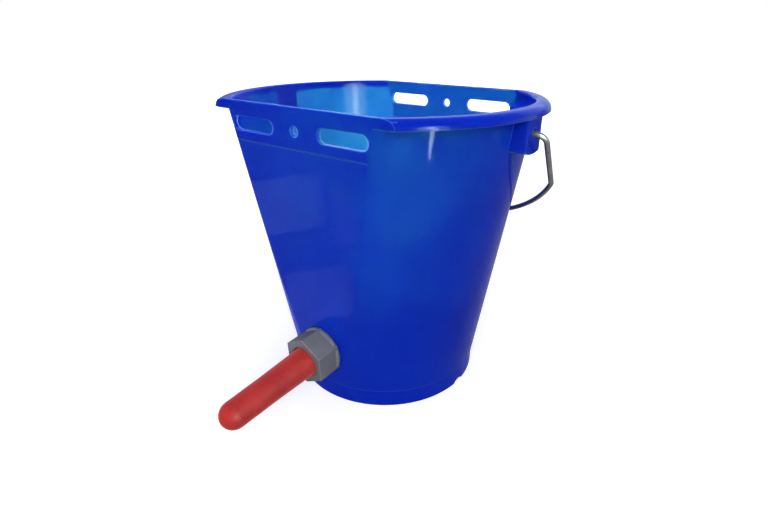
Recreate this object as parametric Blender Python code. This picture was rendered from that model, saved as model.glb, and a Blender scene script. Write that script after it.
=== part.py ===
"""Calf feeding bucket with a teat valve and a swinging wire bail, modelled in metres, +Z up.

The bucket's axis is the Z axis and its foot stands on z = 0. The flat side with the valve faces -Y, the
other flat side faces +Y, and the ears that carry the bail stand at +X and -X.
"""

import math

import bmesh
import bpy
import numpy as np
from mathutils import Matrix, Vector

MM = 0.001

# Running clearance between two pieces that touch or slide, and the small steps used between shapes.
GAP = 0.3 * MM
OVERLAP = 0.5 * MM
SKIN = 0.1 * MM

# Bucket wall: a cone with two flat sides.
HEIGHT = 265 * MM
TOP_RADIUS = 130.4 * MM
BASE_RADIUS = 87.9 * MM
WALL = 3.0 * MM
CORNER_RADIUS = 7.0 * MM

# Flat sides: how far outside the cone they start at the base, so that they run out above the foot, how deep
# they cut into it under the upper band, and the proud band itself.
FLAT_RUNOUT = 1.5 * MM
FLAT_DEPTH = 26.5 * MM
BAND_HEIGHT = 31.5 * MM
BAND_PROUD = 1.2 * MM
BAND_WALL = 3.6 * MM
LEDGE_RISE = 1.2 * MM

# Foot skirt, base plate and the two drain notches under the ears.
FOOT_PROUD = 1.7 * MM
FOOT_HEIGHT = 16.3 * MM
FOOT_STEP = 0.4 * MM
FOOT_WALL = 2.8 * MM
BASE_PLATE = 3.2 * MM
BASE_FILLET = 6.0 * MM
NOTCH_WIDTH = 13.0 * MM
NOTCH_HEIGHT = 3.0 * MM

# Rolled rim: a quarter round turned down outside the wall, on the round sides only.
RIM_OVERHANG = 9.7 * MM
RIM_ROUND = 7.2 * MM
RIM_WALL = 2.9 * MM
RIM_WEB = 2.6 * MM

# Slots and centre hole through both bands.
SLOT_INNER = 23.3 * MM
SLOT_OUTER = 70.7 * MM
SLOT_WIDTH = 11.3 * MM
SLOT_DROP = 17.3 * MM
HOLE_RADIUS = 4.05 * MM

# Ears: pockets open downwards, set in a little from the rim, with the bail's pivot hole in the outer wall.
EAR_INSET = 0.8 * MM
EAR_HALF_WIDTH = 12.3 * MM
EAR_DEPTH = 32.8 * MM
EAR_CORNER = 3.0 * MM
EAR_BOW = 46.0 * MM
EAR_EDGE = 1.5 * MM
EAR_WALL = 2.8 * MM
PIVOT_DROP = 18.0 * MM
PIVOT_HOLE = 3.3 * MM

# Bail: one length of round wire, its bow's circle a little wider than its legs.
WIRE_RADIUS = 2.2 * MM
LEG_GAP = 6.4 * MM
LEG_TAPER = math.radians(6.6)
LEG_BEND = 8.5 * MM
BOW_SPREAD = 7.6 * MM
BOW_RISE = 1.5 * MM
BOW_BEND = 7.0 * MM
HOOK_BEND = 2.8 * MM
HOOK_REACH = 6.4 * MM

# Valve: its height on the front flat, and the body that goes through the wall.
VALVE_HEIGHT = 52.4 * MM
BODY_RADIUS = 16.7 * MM
BODY_LENGTH = 14.8 * MM
BODY_FLANGE_RADIUS = 23.0 * MM
BODY_FLANGE = 3.5 * MM
GASKET = 2.0 * MM
GASKET_RADIUS = 22.5 * MM
CHAMBER_RADIUS = 10.6 * MM
INLET_RADIUS = 5.0 * MM
INLET_LENGTH = 3.0 * MM
RIB_WIDTH = 2.0 * MM
RIB_COUNT = 4

# Check ball and the retainer that keeps it off the teat's bore.
BALL_RADIUS = 7.0 * MM
BALL_TRAVEL = 4.0 * MM
RETAINER_RADIUS = 13.3 * MM
RETAINER_LENGTH = 3.2 * MM
RETAINER_BAR = 2.4 * MM

# Union nut.
NUT_FLATS = 39.9 * MM
NUT_LENGTH = 23.1 * MM
NUT_LIP = 5.2 * MM
NUT_OPENING = 14.3 * MM
NUT_COLLAR_RADIUS = 22.0 * MM
NUT_COLLAR = 3.0 * MM
NUT_CHAMFER = 0.8 * MM
NUT_TURN = math.radians(-1.6)

# Teat.
TEAT_FLANGE = 2.8 * MM
TEAT_ROOT_RADIUS = 13.1 * MM
TEAT_WAIST_RADIUS = 12.0 * MM
TEAT_TIP_RADIUS = 11.6 * MM
TEAT_REACH = 108.0 * MM
TEAT_DROP = 0.4 * MM
TEAT_SAG = math.radians(0.9)
TEAT_WALL = 3.2 * MM
TEAT_ORIFICE = 1.2 * MM

# Facets, and the turn between two of them below which they count as one flat face.
FLAT_ENOUGH = math.radians(0.05)
ARC_STEPS = 12
FILLET_STEPS = 3
FLAT_STEPS = 2
RIM_SEGMENTS = 72
ROUND_SEGMENTS = 40
WIRE_SEGMENTS = 12

# Values that follow from the sizes above.
FLAT_BASE = BASE_RADIUS + FLAT_RUNOUT
FLAT_LEDGE = TOP_RADIUS - FLAT_DEPTH
BAND_FLAT = FLAT_LEDGE + BAND_PROUD
FOOT_RADIUS = BASE_RADIUS + FOOT_PROUD
RIM_RADIUS = TOP_RADIUS + RIM_OVERHANG
EAR_FACE = RIM_RADIUS - EAR_INSET
LEDGE_Z = HEIGHT - BAND_HEIGHT
PIVOT_Z = HEIGHT - PIVOT_DROP
SLOT_Z = HEIGHT - SLOT_DROP
FLOOR_TOP = FOOT_HEIGHT
FLOOR_UNDER = FOOT_HEIGHT - BASE_PLATE
RIM_BOTTOM = HEIGHT - RIM_ROUND
LEAN = math.atan2(FLAT_LEDGE - FLAT_BASE, LEDGE_Z)
LEG_X = EAR_FACE + LEG_GAP + WIRE_RADIUS
BOW_RADIUS = LEG_X + BOW_SPREAD


def wall_radius(z):
    """Outer radius of the cone at height z."""
    return BASE_RADIUS + (TOP_RADIUS - BASE_RADIUS) * z / HEIGHT


def lower_flat(z):
    """Distance from the axis to the outer face of a flat side at height z, below the band."""
    return FLAT_BASE + (FLAT_LEDGE - FLAT_BASE) * z / LEDGE_Z


# Meshes, outlines and objects.


def material(name, colour, roughness, metallic=0.0):
    """A Principled material of one colour."""
    made = bpy.data.materials.new(name)
    made.use_nodes = True
    shader = made.node_tree.nodes["Principled BSDF"]
    shader.inputs["Base Color"].default_value = (*colour, 1.0)
    shader.inputs["Roughness"].default_value = roughness
    shader.inputs["Metallic"].default_value = metallic
    return made


def new_object(name, vertices, faces, parent=None):
    """An object from points and faces, in triangles, shaded smooth but for its sharp edges."""
    mesh = bpy.data.meshes.new(name)
    mesh.from_pydata([tuple(map(float, point)) for point in vertices], [], faces)
    work = bmesh.new()
    work.from_mesh(mesh)
    bmesh.ops.triangulate(work, faces=work.faces)
    work.to_mesh(mesh)
    work.free()
    mesh.shade_smooth()
    mesh.set_sharp_from_angle(angle=math.radians(30))
    made = bpy.data.objects.new(name, mesh)
    bpy.context.scene.collection.objects.link(made)
    made.parent = parent
    return made


def loft(name, rings, parent=None):
    """A closed solid through stacked outlines of equal length, capped at both ends."""
    count = len(rings[0])
    faces = [tuple(reversed(range(count)))]
    for level in range(len(rings) - 1):
        low = level * count
        for i in range(count):
            j = (i + 1) % count
            faces.append((low + i, low + j, low + count + j, low + count + i))
    faces.append(tuple(range((len(rings) - 1) * count, len(rings) * count)))
    return new_object(name, np.concatenate(rings), faces, parent)


def revolve(name, profile, segments, parent=None):
    """A closed profile of (radius, z) points, clockwise with z up, turned round the Z axis."""
    turns = np.linspace(0.0, 2.0 * math.pi, segments, endpoint=False)
    profile = np.array(profile)
    radius = profile[:, 0]
    points = [np.stack([radius * math.cos(t), radius * math.sin(t), profile[:, 1]], axis=1) for t in turns]
    count = len(profile)
    faces = []
    for turn in range(segments):
        here = turn * count
        there = (turn + 1) % segments * count
        for i in range(count):
            j = (i + 1) % count
            faces.append((here + i, here + j, there + j, there + i))
    return new_object(name, np.concatenate(points), faces, parent)


def prism(name, outline, low, high, axis, parent=None):
    """An outline of two coordinates, counter-clockwise about the axis, carried from low to high along it."""
    order = {"X": (2, 0, 1), "Y": (1, 2, 0), "Z": (0, 1, 2)}[axis]
    rings = []
    for level in (low, high):
        flat = np.column_stack([outline, np.full(len(outline), level)])
        rings.append(flat[:, order])
    return loft(name, rings, parent)


def arc(centre, radius, start, end, steps):
    """Points on an arc, both ends included, angles in radians."""
    angles = np.linspace(start, end, steps + 1)
    return [(centre[0] + radius * math.cos(a), centre[1] + radius * math.sin(a)) for a in angles]


def circle(radius, steps, centre=(0.0, 0.0)):
    """Points of a full circle, counter-clockwise."""
    return arc(centre, radius, 0.0, 2.0 * math.pi * (steps - 1) / steps, steps - 1)


def combine(target, tool, operation, solver="EXACT"):
    """Union, difference or intersection with a tool that is then hidden."""
    step = target.modifiers.new(operation.lower() + "_" + tool.name, "BOOLEAN")
    step.operation = operation
    step.solver = solver
    step.object = tool
    tool.hide_render = True
    tool.display_type = "WIRE"


def settle(target, finish):
    """Applies the modifiers, tidies the mesh, gives it its material and deletes the tools."""
    graph = bpy.context.evaluated_depsgraph_get()
    mesh = bpy.data.meshes.new_from_object(target.evaluated_get(graph))
    tools = [step.object for step in target.modifiers if step.type == "BOOLEAN"]
    target.modifiers.clear()
    for tool in tools:
        bpy.data.objects.remove(tool)
    work = bmesh.new()
    work.from_mesh(mesh)
    bmesh.ops.remove_doubles(work, verts=work.verts, dist=1e-6)
    bmesh.ops.dissolve_degenerate(work, edges=work.edges, dist=1e-6)
    bmesh.ops.dissolve_limit(work, angle_limit=FLAT_ENOUGH, verts=work.verts, edges=work.edges)
    bmesh.ops.triangulate(work, faces=work.faces)
    work.to_mesh(mesh)
    work.free()
    mesh.shade_smooth()
    mesh.set_sharp_from_angle(angle=math.radians(30))
    target.data = mesh
    target.data.name = target.name
    target.data.materials.clear()
    target.data.materials.append(finish)
    return target


# The bucket's one-piece shell.


def clipped_ring(radius, flat, fillet, z):
    """A circle cut by the lines y = flat and y = -flat, its corners filleted, as one closed outline at z.

    Each quarter is sampled by the angle from the Y axis, with fixed counts on the flat, the fillet and the
    arc, so outlines of any size match point for point.
    """
    reach = (radius - fillet) ** 2 - (flat - fillet) ** 2
    centre_x = math.sqrt(max(reach, 0.0))
    end_of_flat = math.atan2(centre_x, flat) if reach > 0 else 0.0
    start_of_arc = math.atan2(centre_x, flat - fillet) if reach > 0 else 0.0

    def distance(angle):
        if angle < end_of_flat:
            return flat / math.cos(angle)
        if angle < start_of_arc:
            along = centre_x * math.sin(angle) + (flat - fillet) * math.cos(angle)
            inside = centre_x**2 + (flat - fillet) ** 2 - fillet**2
            return along + math.sqrt(max(along**2 - inside, 0.0))
        return radius

    first = max(end_of_flat, math.radians(2.0))
    second = max(start_of_arc, first + math.radians(2.0))
    quarter = np.concatenate([
        np.linspace(math.pi / 2, second, ARC_STEPS + 1),
        np.linspace(second, first, FILLET_STEPS + 1)[1:],
        np.linspace(first, 0.0, FLAT_STEPS + 1)[1:],
    ])
    first_quarter = np.array([(distance(a) * math.sin(a), distance(a) * math.cos(a)) for a in quarter])
    second_quarter = first_quarter[::-1] * (-1.0, 1.0)
    half = np.concatenate([first_quarter, second_quarter[1:]])
    outline = np.concatenate([half[:-1], -half[:-1]])
    return np.column_stack([outline, np.full(len(outline), z)])


def wall_levels():
    """Heights between the foot and the ledge, closer together low down, where the flats run out."""
    start = FOOT_HEIGHT + FOOT_STEP
    shares = np.linspace(0.0, 1.0, 9) ** 1.6
    return start + (LEDGE_Z - start) * shares


def tub():
    """The outer form of wall and foot, as a solid block."""
    round_foot = 2.0 * FOOT_RADIUS
    rings = [clipped_ring(FOOT_RADIUS, round_foot, CORNER_RADIUS, 0.0)]
    foot_top = wall_radius(FOOT_HEIGHT) - FOOT_STEP
    rings.append(clipped_ring(foot_top, round_foot, CORNER_RADIUS, FOOT_HEIGHT))
    for z in wall_levels():
        rings.append(clipped_ring(wall_radius(z), lower_flat(z), CORNER_RADIUS, z))
    band = BAND_FLAT + SKIN
    for z in (LEDGE_Z + LEDGE_RISE, HEIGHT - RIM_WALL / 2):
        rings.append(clipped_ring(wall_radius(z), band, CORNER_RADIUS, z))
    return loft("bucket_shell", rings)


def cavity():
    """The space inside, from the floor to above the rim."""
    inner_corner = CORNER_RADIUS - WALL
    rings = []
    for turn in np.linspace(0.0, math.pi / 2, 4):
        z = FLOOR_TOP + BASE_FILLET * (1.0 - math.cos(turn))
        inset = WALL + BASE_FILLET * (1.0 - math.sin(turn))
        rings.append(clipped_ring(wall_radius(z) - inset, lower_flat(z) - inset, inner_corner, z))
    for z in wall_levels():
        if z > FLOOR_TOP + 1.5 * BASE_FILLET:
            rings.append(clipped_ring(wall_radius(z) - WALL, lower_flat(z) - WALL, inner_corner, z))
    for z in (LEDGE_Z + LEDGE_RISE, HEIGHT + RIM_ROUND):
        rings.append(clipped_ring(wall_radius(z) - WALL, BAND_FLAT - BAND_WALL, inner_corner, z))
    return loft("cavity", rings)


def rim():
    """The top plate and the quarter round that turns down outside the wall."""
    inside = 0.65 * TOP_RADIUS
    centre = (RIM_RADIUS - RIM_ROUND, RIM_BOTTOM)
    profile = [(inside, HEIGHT - RIM_WALL), (inside, HEIGHT)]
    profile += arc(centre, RIM_ROUND, math.pi / 2, 0.0, 5)
    profile += arc(centre, RIM_ROUND - RIM_WALL, 0.0, math.pi / 2, 4)
    return revolve("rim", profile, RIM_SEGMENTS)


def rim_webs():
    """The four webs that close the rolled rim where the flats cut it."""
    outer = RIM_RADIUS - 0.75 * RIM_WALL
    low_y = BAND_FLAT - RIM_WEB
    high_y = BAND_FLAT + OVERLAP
    start = 0.8 * math.sqrt(TOP_RADIUS**2 - BAND_FLAT**2)
    corner = [
        (start, low_y),
        (math.sqrt(outer**2 - low_y**2), low_y),
        (math.sqrt(outer**2 - high_y**2), high_y),
        (start, high_y),
    ]
    webs = []
    for side in (1, -1):
        for end in (1, -1):
            outline = [(x * side, y * end) for x, y in corner]
            if side * end < 0:
                outline.reverse()
            low = RIM_BOTTOM - GAP
            webs.append(prism("rim_web", outline, low, HEIGHT - RIM_WALL / 2, "Z"))
    return webs


def ear(side):
    """One ear: a box of thin plates under the rim, open downwards, rooted in the wall."""
    low = HEIGHT - EAR_DEPTH
    high = HEIGHT - RIM_WALL / 2
    half = EAR_HALF_WIDTH
    # The lower edge is a shallow arc, and small corner arcs run from it into the upright sides. Its count of
    # steps is odd, so that none of its points lies under the pivot hole's lowest one.
    turn = math.asin((half - EAR_CORNER) / (EAR_BOW - EAR_CORNER))
    down = 1.5 * math.pi
    corner_y = (EAR_BOW - EAR_CORNER) * math.sin(turn)
    corner_z = low + EAR_BOW - (EAR_BOW - EAR_CORNER) * math.cos(turn)
    outline = arc((-corner_y, corner_z), EAR_CORNER, math.pi, down - turn, 3)
    outline += arc((0.0, low + EAR_BOW), EAR_BOW, down - turn, down + turn, 7)[1:-1]
    outline += arc((corner_y, corner_z), EAR_CORNER, down + turn, 2.0 * math.pi, 3)
    outline += [(half, high), (-half, high)]
    root = side * 0.85 * TOP_RADIUS
    block = prism("ear", outline, *sorted((side * EAR_FACE, root)), "X")
    # The upright edges of the outer plate are rounded.
    edge = half - EAR_EDGE
    face = EAR_FACE - EAR_EDGE
    plan = [(side * x, side * y) for x, y in arc((face, -edge), EAR_EDGE, -math.pi / 2, 0.0, 3)]
    plan += [(side * x, side * y) for x, y in arc((face, edge), EAR_EDGE, 0.0, math.pi / 2, 3)]
    plan += [(root - side * WALL, side * half), (root - side * WALL, -side * half)]
    combine(block, prism("ear_plan", plan, low - WALL, high + WALL, "Z"), "INTERSECT")
    inner = half - EAR_WALL
    pocket = [(-inner, low / 2), (inner, low / 2), (inner, 2 * HEIGHT), (-inner, 2 * HEIGHT)]
    ends = sorted((side * (EAR_FACE - EAR_WALL), side * 0.5 * TOP_RADIUS))
    combine(block, prism("ear_pocket", pocket, *ends, "X"), "DIFFERENCE")
    # The plates stay under the rolled rim's curve.
    centre = (RIM_RADIUS - RIM_ROUND, RIM_BOTTOM)
    crown = arc(centre, RIM_ROUND - OVERLAP, 0.1, math.pi / 2, 5)
    crown += [(centre[0], 1.1 * HEIGHT), (1.1 * RIM_RADIUS, 1.1 * HEIGHT), (1.1 * RIM_RADIUS, crown[0][1])]
    combine(block, revolve("crown", crown, RIM_SEGMENTS), "DIFFERENCE")
    return block


def trim_blocks():
    """Blocks beyond the two bands, which cut the rim and the ends of its webs flush with them."""
    blocks = []
    for side in (1, -1):
        near, far = sorted((side * BAND_FLAT, side * 1.5 * RIM_RADIUS))
        outline = [
            (-2 * RIM_RADIUS, near),
            (2 * RIM_RADIUS, near),
            (2 * RIM_RADIUS, far),
            (-2 * RIM_RADIUS, far),
        ]
        blocks.append(prism("trim", outline, LEDGE_Z, HEIGHT + RIM_ROUND, "Z"))
    return blocks


def slot_cutters():
    """Two round-ended slots and the centre hole, each carried through both flat sides."""
    half = SLOT_WIDTH / 2
    reach = 1.3 * BAND_FLAT
    cutters = []
    for side in (1, -1):
        left, right = sorted((side * (SLOT_INNER + half), side * (SLOT_OUTER - half)))
        outline = arc((SLOT_Z, right), half, 0.0, math.pi, 8)
        outline += arc((SLOT_Z, left), half, math.pi, 2.0 * math.pi, 8)
        cutters.append(prism("slot", outline, -reach, reach, "Y"))
    cutters.append(prism("hole", circle(HOLE_RADIUS, 20, (SLOT_Z, 0.0)), -reach, reach, "Y"))
    return cutters


def foot_cutters():
    """The recess under the base plate, and the round-topped notches through the skirt."""
    recess = FOOT_RADIUS - FOOT_WALL
    hollow = loft("recess", [
        clipped_ring(recess, 2 * recess, CORNER_RADIUS, -FOOT_HEIGHT),
        clipped_ring(recess, 2 * recess, CORNER_RADIUS, FLOOR_UNDER),
    ])
    radius = ((NOTCH_WIDTH / 2) ** 2 + NOTCH_HEIGHT**2) / (2 * NOTCH_HEIGHT)
    reach = 1.2 * FOOT_RADIUS
    notch = prism("notch", circle(radius, 32, (0.0, NOTCH_HEIGHT - radius)), -reach, reach, "X")
    return [hollow, notch]


def bucket_shell(frame, finish):
    """The one-piece moulding: wall, floor, foot, rim and ears, with its slots, notches and valve bore."""
    shell = tub()
    combine(shell, rim(), "UNION")
    for web in rim_webs():
        combine(shell, web, "UNION")
    ears = [ear(side) for side in (1, -1)]
    for block in ears:
        combine(shell, settle(block, finish), "UNION")
    for block in trim_blocks():
        combine(shell, block, "DIFFERENCE")
    combine(shell, cavity(), "DIFFERENCE")
    for cutter in slot_cutters() + foot_cutters():
        combine(shell, cutter, "DIFFERENCE")
    for side in (1, -1):
        ends = sorted((side * (EAR_FACE - 2 * EAR_WALL), side * (EAR_FACE + EAR_WALL)))
        pivot = circle(PIVOT_HOLE, 24, (0.0, PIVOT_Z + PIVOT_HOLE - WIRE_RADIUS - GAP))
        combine(shell, prism("pivot_hole", pivot, *ends, "X"), "DIFFERENCE")
    bore = prism("bore", circle(BODY_RADIUS + GAP, ROUND_SEGMENTS), -3 * WALL, 3 * WALL, "Z", frame)
    combine(shell, bore, "DIFFERENCE")
    return settle(shell, finish)


# The bail.


def bail_path():
    """The wire's centre line, from one hooked end over the bow to the other, as (x, drop) points."""
    plate_inside = EAR_FACE - EAR_WALL
    hook_x = plate_inside - GAP - WIRE_RADIUS
    hook = arc((hook_x + HOOK_BEND, HOOK_BEND), HOOK_BEND, math.pi, 1.5 * math.pi, 4)
    half = [(hook_x, HOOK_REACH)] + hook
    # The leg starts on the pivot line and leans inwards until it meets the circle of the bow.
    lean_x, lean_drop = -math.sin(LEG_TAPER), math.cos(LEG_TAPER)
    middle = LEG_X * lean_x + BOW_RISE * lean_drop
    along = math.sqrt(BOW_RADIUS**2 - LEG_X**2 - BOW_RISE**2 + middle**2) - middle
    corner = (LEG_X + along * lean_x, along * lean_drop)
    half += rounded_corner((plate_inside, 0.0), (LEG_X, 0.0), corner, LEG_BEND, 5)
    turn = math.atan2(corner[1] + BOW_RISE, corner[0]) + BOW_BEND / 2 / BOW_RADIUS
    bow = arc((0.0, -BOW_RISE), BOW_RADIUS, turn, math.pi / 2, 16)
    half += rounded_corner((LEG_X, 0.0), corner, bow[0], BOW_BEND, 3)
    half += bow
    half = np.array(half)
    return np.concatenate([half, half[-2::-1] * (-1.0, 1.0)])


def rounded_corner(before, corner, after, radius, steps):
    """Points of the arc that rounds the corner between two straight runs."""
    back = np.subtract(before, corner)
    back /= np.linalg.norm(back)
    ahead = np.subtract(after, corner)
    ahead /= np.linalg.norm(ahead)
    half_angle = math.acos(float(back @ ahead)) / 2
    middle = (back + ahead) / np.linalg.norm(back + ahead)
    centre = corner + middle * radius / math.sin(half_angle)
    start = corner + back * radius / math.tan(half_angle) - centre
    end = corner + ahead * radius / math.tan(half_angle) - centre
    first = math.atan2(start[1], start[0])
    sweep = math.remainder(math.atan2(end[1], end[0]) - first, 2.0 * math.pi)
    return arc(centre, radius, first, first + sweep, steps)


def bail_clearance(angle):
    """Least space between the bow's centre line and the wall, with the bail hanging at the angle."""
    turns = np.linspace(0.0, math.radians(70), 71)
    x = BOW_RADIUS * np.sin(turns)
    drop = BOW_RADIUS * np.cos(turns) - BOW_RISE
    y = drop * math.sin(angle)
    z = PIVOT_Z - drop * math.cos(angle)
    from_flat = (y - lower_flat(z)) * math.cos(LEAN)
    slope = math.atan2(TOP_RADIUS - BASE_RADIUS, HEIGHT)
    from_cone = (np.hypot(x, y) - wall_radius(z)) * math.cos(slope)
    return float(np.min(np.maximum(from_flat, from_cone)))


def bail_rest_angle():
    """The angle from straight down at which the bow comes to rest against the back of the bucket."""
    free, blocked = math.radians(90), math.radians(10)
    for _ in range(40):
        middle = (free + blocked) / 2
        if bail_clearance(middle) > WIRE_RADIUS + GAP:
            free = middle
        else:
            blocked = middle
    return free


def bail_handle(finish):
    """The bail: round wire swept along its path, with its origin on the pivot line."""
    path = bail_path()
    ahead = np.gradient(path, axis=0)
    ahead /= np.linalg.norm(ahead, axis=1)[:, None]
    across = np.column_stack([ahead[:, 1], -ahead[:, 0]])
    turns = np.linspace(0.0, 2.0 * math.pi, WIRE_SEGMENTS, endpoint=False)
    rings = []
    for point, side in zip(path, across):
        x = point[0] + WIRE_RADIUS * np.cos(turns) * side[0]
        z = -(point[1] + WIRE_RADIUS * np.cos(turns) * side[1])
        rings.append(np.column_stack([x, -WIRE_RADIUS * np.sin(turns), z]))
    wire = loft("bail_handle", rings)
    wire.location = (0.0, 0.0, PIVOT_Z)
    wire.rotation_euler = (bail_rest_angle(), 0.0, 0.0)
    wire.data.materials.append(finish)
    return wire


# Valve, nut and teat, along an axis square to the front flat, outwards from its outer face.


def valve_frame():
    """An empty on the front flat whose +Z points out of the bucket along the valve."""
    outward = Vector((0.0, -math.cos(LEAN), -math.sin(LEAN)))
    across = Vector((1.0, 0.0, 0.0))
    up = outward.cross(across)
    place = Matrix((across, up, outward)).transposed().to_4x4()
    place.translation = (0.0, -lower_flat(VALVE_HEIGHT), VALVE_HEIGHT)
    made = bpy.data.objects.new("valve_frame", None)
    bpy.context.scene.collection.objects.link(made)
    made.matrix_world = place
    return made


GASKET_TOP = -WALL - GAP
FLANGE_TOP = GASKET_TOP - GASKET - GAP
FLANGE_END = FLANGE_TOP - BODY_FLANGE
SEAT_START = FLANGE_END + INLET_LENGTH
SEAT_END = SEAT_START + CHAMBER_RADIUS - INLET_RADIUS
# The seat is a 45 degree cone, so the ball meets it when its centre is root two of its radius from the tip.
BALL_SEATED = SEAT_START - INLET_RADIUS + (BALL_RADIUS + GAP) * math.sqrt(2.0)
BALL_OPEN = BALL_SEATED + BALL_TRAVEL
RETAINER_START = BALL_OPEN + BALL_RADIUS + GAP
RETAINER_POCKET = RETAINER_START - GAP
NUT_END = GAP + NUT_LENGTH
LIP_START = NUT_END - NUT_LIP
# The teat's own droop tips its flange, so the flange has that much more room on each side.
TEAT_FLANGE_RADIUS = BODY_RADIUS - TEAT_DROP
TEAT_ROCK = TEAT_FLANGE_RADIUS * math.sin(TEAT_SAG)
TEAT_FLANGE_END = LIP_START - GAP - TEAT_ROCK
TEAT_START = TEAT_FLANGE_END - TEAT_FLANGE


def valve_body(frame, finish):
    """The flanged spigot, with the ball's seat and chamber and the guide ribs in it."""
    front = min(BODY_LENGTH, TEAT_START - TEAT_ROCK - GAP)
    profile = [
        (INLET_RADIUS, FLANGE_END),
        (INLET_RADIUS, SEAT_START),
        (CHAMBER_RADIUS, SEAT_END),
        (CHAMBER_RADIUS, RETAINER_POCKET),
        (RETAINER_RADIUS + GAP, RETAINER_POCKET),
        (RETAINER_RADIUS + GAP, front),
        (BODY_RADIUS, front),
        (BODY_RADIUS, FLANGE_TOP),
        (BODY_FLANGE_RADIUS, FLANGE_TOP),
        (BODY_FLANGE_RADIUS, FLANGE_END),
    ]
    body = revolve("valve_body", profile, ROUND_SEGMENTS, frame)
    inner = BALL_RADIUS + GAP
    outer = (CHAMBER_RADIUS + RETAINER_RADIUS) / 2
    half = RIB_WIDTH / 2
    # Each rib starts where the seat's cone is as wide as the space left for the ball.
    start = SEAT_START + inner - INLET_RADIUS
    for turn in range(RIB_COUNT):
        rib = np.array([(inner, -half), (outer, -half), (outer, half), (inner, half)])
        angle = 2.0 * math.pi * (turn + 0.5) / RIB_COUNT
        turned = rib @ np.array([[math.cos(angle), math.sin(angle)], [-math.sin(angle), math.cos(angle)]])
        combine(body, prism("rib", turned, start, RETAINER_POCKET - GAP, "Z", frame), "UNION")
    return settle(body, finish)


def wall_gasket(frame, finish):
    """The flat ring that seals the body's flange against the inside of the wall."""
    inner = BODY_RADIUS + GAP
    profile = [
        (inner, GASKET_TOP - GASKET),
        (inner, GASKET_TOP),
        (GASKET_RADIUS, GASKET_TOP),
        (GASKET_RADIUS, GASKET_TOP - GASKET),
    ]
    ring = revolve("wall_gasket", profile, ROUND_SEGMENTS, frame)
    ring.data.materials.append(finish)
    return ring


def check_ball(frame, finish):
    """The ball, lying against its retainer as it does in an upright, empty bucket."""
    work = bmesh.new()
    bmesh.ops.create_uvsphere(work, u_segments=24, v_segments=12, radius=BALL_RADIUS)
    mesh = bpy.data.meshes.new("check_ball")
    work.to_mesh(mesh)
    work.free()
    mesh.shade_smooth()
    mesh.materials.append(finish)
    ball = bpy.data.objects.new("check_ball", mesh)
    bpy.context.scene.collection.objects.link(ball)
    ball.parent = frame
    ball.location = (0.0, 0.0, BALL_OPEN)
    return ball


def ball_retainer(frame, finish):
    """A ring with two crossed bars, which stops the ball and lets the milk past."""
    end = RETAINER_START + RETAINER_LENGTH
    inner = CHAMBER_RADIUS
    profile = [
        (inner, RETAINER_START),
        (inner, end),
        (RETAINER_RADIUS, end),
        (RETAINER_RADIUS, RETAINER_START),
    ]
    ring = revolve("ball_retainer", profile, ROUND_SEGMENTS, frame)
    half = RETAINER_BAR / 2
    reach = (inner + RETAINER_RADIUS) / 2
    cross = [
        (reach, -half), (reach, half), (half, half), (half, reach), (-half, reach), (-half, half),
        (-reach, half), (-reach, -half), (-half, -half), (-half, -reach), (half, -reach), (half, -half),
    ]
    combine(ring, prism("cross", cross, RETAINER_START + SKIN, end - SKIN, "Z", frame), "UNION")
    return settle(ring, finish)


def union_nut(frame, finish):
    """The hexagon nut with a round collar at the wall and a lip that holds the teat's flange."""
    corner = NUT_FLATS / 2 / math.cos(math.pi / 6)
    turns = [math.pi / 2 + NUT_TURN + math.pi / 3 * i for i in range(6)]
    rings = []
    chamfer = NUT_END - NUT_CHAMFER
    for z, radius in ((GAP + SKIN, corner), (chamfer, corner), (NUT_END, corner - NUT_CHAMFER)):
        rings.append(np.array([(radius * math.cos(t), radius * math.sin(t), z) for t in turns]))
    nut = loft("union_nut", rings, frame)
    # The collar shows between the corners; below it, and round its edge, the corners are turned away.
    collar = prism("collar", circle(NUT_COLLAR_RADIUS, ROUND_SEGMENTS), GAP, GAP + NUT_COLLAR, "Z", frame)
    combine(nut, collar, "UNION")
    bore = BODY_RADIUS + GAP
    hollow = revolve_cutter("nut_bore", bore, -WALL, LIP_START, frame)
    combine(nut, hollow, "DIFFERENCE")
    opening = revolve_cutter("nut_opening", NUT_OPENING, LIP_START - WALL, 2 * NUT_END, frame)
    combine(nut, opening, "DIFFERENCE")
    return settle(nut, finish)


def revolve_cutter(name, radius, low, high, frame):
    """A round cutter along the valve's axis."""
    return prism(name, circle(radius, ROUND_SEGMENTS), low, high, "Z", frame)


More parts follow.
